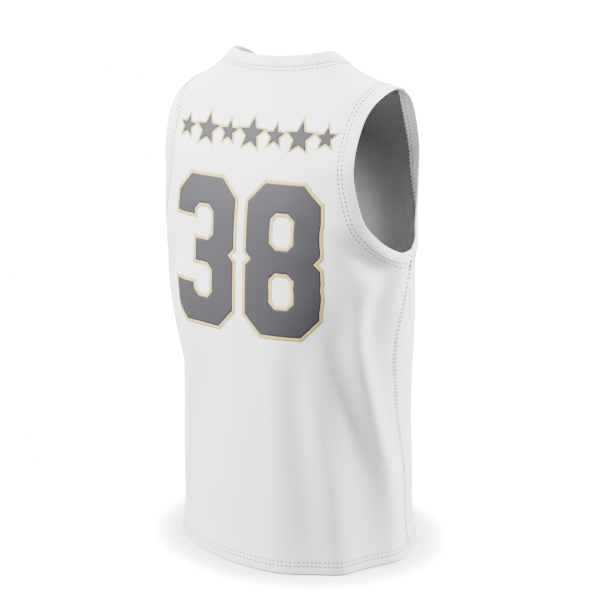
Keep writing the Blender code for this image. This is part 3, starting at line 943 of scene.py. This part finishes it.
def film(name, shapes, lift, finish):
    """A thin printed film in the cloth's form, from flat outlines, each with its holes."""
    verts = []
    faces = []
    for outlines in shapes:
        places, triangles = filled(outlines)
        used = np.unique(triangles)
        index = {k: len(verts) + n for n, k in enumerate(used)}
        share, run = print_points(places[used])
        here, _, _, normal = slopes(share, run)
        verts += list(here + normal * lift)
        faces += [tuple(index[k] for k in face[::-1]) for face in triangles]
    new = add_object(name, verts, faces)
    new.data.materials.append(finish)
    thicken(new, PRINT_FILM)
    return new


def placed(outlines, x, y):
    """Outlines moved to a place on the back, where +x is the wearer's left; seen from behind,
    the print reads from the wearer's left to the right, so its x runs the other way."""
    return [[(x - a, y + b) for a, b in outline][::-1] for outline in outlines]


def print_shapes(edge):
    """The number and the stars; edge grows them by their border."""
    shapes = []
    width = 2 * DIGIT_WIDTH + DIGIT_SPACE
    for k, digit in enumerate((block_three(), block_eight())):
        x = width / 2 - k * (DIGIT_WIDTH + DIGIT_SPACE)
        outlines = placed(digit, x, DIGIT_MIDDLE_Z - DIGIT_HEIGHT / 2)
        if edge:
            holes = [grown(hole, -DIGIT_EDGE) for hole in outlines[1:]]
            outlines = [grown(outlines[0], DIGIT_EDGE)] + holes
        shapes.append(outlines)
    for k, radius in enumerate(STAR_RADII):
        x = ((len(STAR_RADII) - 1) / 2 - k) * STAR_SPACE
        outlines = placed(star(radius), x, STAR_MIDDLE_Z)
        if edge:
            outlines = [grown(outlines[0], STAR_EDGE)]
        shapes.append(outlines)
    return shapes


# ======== materials
def put(node, values):
    """Set some of a node's inputs."""
    for name, value in values.items():
        node.inputs[name].default_value = value


def new_material(name, colour, roughness):
    """A plain material, with its shader and its tree of nodes."""
    made = bpy.data.materials.new(name)
    made.use_nodes = True
    shader = made.node_tree.nodes["Principled BSDF"]
    put(shader, {"Base Color": (*colour, 1), "Roughness": roughness})
    return made, shader, made.node_tree


def noise(tree, place, scale):
    """A node of noise in the object's own space."""
    made = tree.nodes.new("ShaderNodeTexNoise")
    put(made, {"Scale": scale})
    tree.links.new(place.outputs["Object"], made.inputs["Vector"])
    return made


def waves(tree, place, direction, scale, unevenness):
    """Bands across the flat cloth."""
    made = tree.nodes.new("ShaderNodeTexWave")
    made.bands_direction = direction
    put(made, {"Scale": scale, "Distortion": unevenness})
    tree.links.new(place.outputs["UV"], made.inputs["Vector"])
    return made.outputs["Fac"]


def maths(tree, operation, value, other):
    """A value and a second value or number, worked into one."""
    made = tree.nodes.new("ShaderNodeMath")
    made.operation = operation
    tree.links.new(value, made.inputs[0])
    if isinstance(other, (int, float)):
        made.inputs[1].default_value = other
    else:
        tree.links.new(other, made.inputs[1])
    return made.outputs[0]


def ramp(tree, value, low, high):
    """0 where a value is low, 1 where it is high, and even in between."""
    made = tree.nodes.new("ShaderNodeMapRange")
    put(made, {"From Min": low, "From Max": high})
    tree.links.new(value, made.inputs["Value"])
    return made.outputs["Result"]


def blend(tree, first, colour, factor):
    """From a first colour, or a tone worked out before, to a second colour."""
    mix = tree.nodes.new("ShaderNodeMix")
    mix.data_type = "RGBA"
    mix.inputs["B"].default_value = (*colour, 1)
    if isinstance(first, tuple):
        mix.inputs["A"].default_value = (*first, 1)
    else:
        tree.links.new(first, mix.inputs["A"])
    tree.links.new(factor, mix.inputs["Factor"])
    return mix.outputs["Result"]


def shaded(colour, shade):
    """A colour made darker."""
    return tuple(c * shade for c in colour)


def add_bump(tree, shader, height, strength, depth):
    """Fine relief on a material."""
    bump = tree.nodes.new("ShaderNodeBump")
    put(bump, {"Strength": strength, "Distance": depth})
    tree.links.new(height, bump.inputs["Height"])
    tree.links.new(bump.outputs["Normal"], shader.inputs["Normal"])


def knit_material(name, colour, sheen=KNIT_SHEEN, painted_top_shade=None):
    """Fine jersey knit, with a slight unevenness in tone; a painted top shade takes over towards
    the shoulders, where less light comes in."""
    made, shader, tree = new_material(name, colour, KNIT_ROUGHNESS)
    put(shader, {"Sheen Weight": sheen, "Sheen Roughness": SHEEN_ROUGHNESS})
    place = tree.nodes.new("ShaderNodeTexCoord")
    loops = maths(tree, "MULTIPLY", waves(tree, place, *WALES), waves(tree, place, *COURSES))
    add_bump(tree, shader, loops, *LOOP_BUMP)
    cloud = noise(tree, place, CLOUD_SCALE)
    put(cloud, {"Detail": CLOUD_DETAIL})
    tone = blend(tree, shaded(colour, CLOUD_SHADE), colour, cloud.outputs["Fac"])
    if painted_top_shade:
        split = tree.nodes.new("ShaderNodeSeparateXYZ")
        tree.links.new(place.outputs["Object"], split.inputs[0])
        tone = blend(tree, tone, painted_top_shade, ramp(tree, split.outputs["Z"], INNER_LOW_Z, INNER_HIGH_Z))
    tree.links.new(tone, shader.inputs["Base Color"])
    return made


def print_material(name, colour):
    """A flat printed film with a faint grain from the knit under it."""
    made, shader, tree = new_material(name, colour, PRINT_ROUGHNESS)
    put(shader, {"Specular IOR Level": PRINT_SPECULAR})
    grain = noise(tree, tree.nodes.new("ShaderNodeTexCoord"), GRAIN_SCALE).outputs["Fac"]
    add_bump(tree, shader, grain, *GRAIN_BUMP)
    tree.links.new(blend(tree, shaded(colour, GRAIN_SHADE), colour, grain), shader.inputs["Base Color"])
    return made


def thread_material():
    """Dark thread, lighter here and there."""
    made, shader, tree = new_material("thread", THREAD_COLOUR, THREAD_ROUGHNESS)
    patches = noise(tree, tree.nodes.new("ShaderNodeTexCoord"), THREAD_SCALE).outputs["Fac"]
    tree.links.new(blend(tree, THREAD_DARKEST, THREAD_LIGHTEST, patches), shader.inputs["Base Color"])
    return made


KNIT_WHITE = knit_material("white_knit", KNIT_COLOUR)
# the inside knit carries painted shade: grey, and darker towards the shoulders
KNIT_INSIDE_SHADED = knit_material("inner_knit", INNER_PAINTED_SHADE, INNER_SHEEN, INNER_TOP_PAINTED_SHADE)
KNIT_BAND = knit_material("band_knit", KNIT_COLOUR)
THREAD = thread_material()
PRINT_FILL = print_material("print_fill", FILL_COLOUR)
PRINT_EDGE = print_material("print_edge", EDGE_COLOUR)


# ======== floor, light, camera
def make_floor():
    """A white floor that darkens softly close to the hem, as a painted contact shadow."""
    data = bpy.data.meshes.new("floor")
    corners = [(-1, -1), (1, -1), (1, 1), (-1, 1)]
    data.from_pydata([(x * FLOOR_SIZE, y * FLOOR_SIZE, FLOOR_Z) for x, y in corners], [], [(0, 1, 2, 3)])
    floor = linked("floor", data)
    made, shader, tree = new_material("floor", FLOOR_COLOUR, FLOOR_ROUGHNESS)
    # painted contact shadow: ambient occlusion near the hem lowers the floor's glow
    near = tree.nodes.new("ShaderNodeAmbientOcclusion")
    put(near, {"Distance": SHADOW_REACH})
    near.samples = SHADOW_SAMPLES
    openness = ramp(tree, near.outputs["AO"], SHADOW_DARKEST, 1)
    glow = maths(tree, "MULTIPLY", maths(tree, "POWER", openness, SHADOW_FALL), FLOOR_GLOW)
    tree.links.new(glow, shader.inputs["Emission Strength"])
    put(shader, {"Emission Color": (1, 1, 1, 1), "Specular IOR Level": 0})
    data.materials.append(made)
    floor.visible_diffuse = False
    floor.visible_glossy = False
    floor.visible_shadow = False


def outward(azimuth, elevation):
    """The direction from the jersey to a place round it; azimuth 0 is in front."""
    a = math.radians(azimuth)
    e = math.radians(elevation)
    return mathutils.Vector((math.sin(a) * math.cos(e), -math.cos(a) * math.cos(e), math.sin(e)))


def make_light():
    """An even white surround and a few large soft boxes."""
    world = bpy.data.worlds.new("studio")
    world.use_nodes = True
    put(world.node_tree.nodes["Background"], {"Color": (1, 1, 1, 1), "Strength": WORLD_LIGHT})
    bpy.context.scene.world = world
    for name, azimuth, elevation, distance, size, power in LAMPS:
        light = bpy.data.lights.new(name, "AREA")
        light.size = size
        light.energy = power
        lamp = linked(name, light)
        way = outward(azimuth, elevation)
        lamp.location = way * distance + mathutils.Vector((0, 0, CAMERA_LOOK_Z))
        lamp.rotation_euler = way.to_track_quat("Z", "Y").to_euler()


def make_camera():
    """The photograph's view, from behind on the wearer's right."""
    turn = math.radians(CAMERA_AZIMUTH)
    right = mathutils.Vector((math.cos(turn), math.sin(turn), 0))
    target = mathutils.Vector((0, 0, CAMERA_LOOK_Z)) + right * CAMERA_PAN
    back = outward(CAMERA_AZIMUTH, CAMERA_ELEVATION)
    data = bpy.data.cameras.new("camera")
    data.lens = CAMERA_LENS
    camera = linked("camera", data)
    camera.location = target + back * CAMERA_DISTANCE
    camera.rotation_euler = back.to_track_quat("Z", "Y").to_euler()
    bpy.context.scene.camera = camera


# ======== the jersey
make_camera()
back_panel = make_panel("back_knit", True)
front_panel = make_panel("front_knit", False)
facing_left = make_facing("armhole_hem_left", 1)
facing_right = make_facing("armhole_hem_right", -1)
neck_band = make_neck_band("neck_band_knit")
number_edge = film("print_edge", print_shapes(True), PRINT_LIFT, PRINT_EDGE)
number_fill = film("print_fill", print_shapes(False), PRINT_LIFT + PRINT_FILM * 2, PRINT_FILL)
hem_stitching = make_stitching("hem_stitching", hem_rows())
side_stitching = make_stitching("side_seam_stitching", side_rows())
left_stitching = make_stitching("armhole_stitching_left", armhole_rows(1))
right_stitching = make_stitching("armhole_stitching_right", armhole_rows(-1))
neck_stitching = make_stitching("neck_stitching", neck_rows())

knits = (back_panel, front_panel, facing_left, facing_right, neck_band)
films = (number_edge, number_fill)
threads = (hem_stitching, side_stitching, left_stitching, right_stitching, neck_stitching)
for pieces, slot in ((knits, "white_knit"), (films, "print"), (threads, "thread")):
    for piece in pieces:
        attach(piece, "root")

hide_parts("back_panel")
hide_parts("front_panel")
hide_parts("armhole_facing_left")
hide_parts("armhole_facing_right")
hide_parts("neck_band")

make_floor()
make_light()
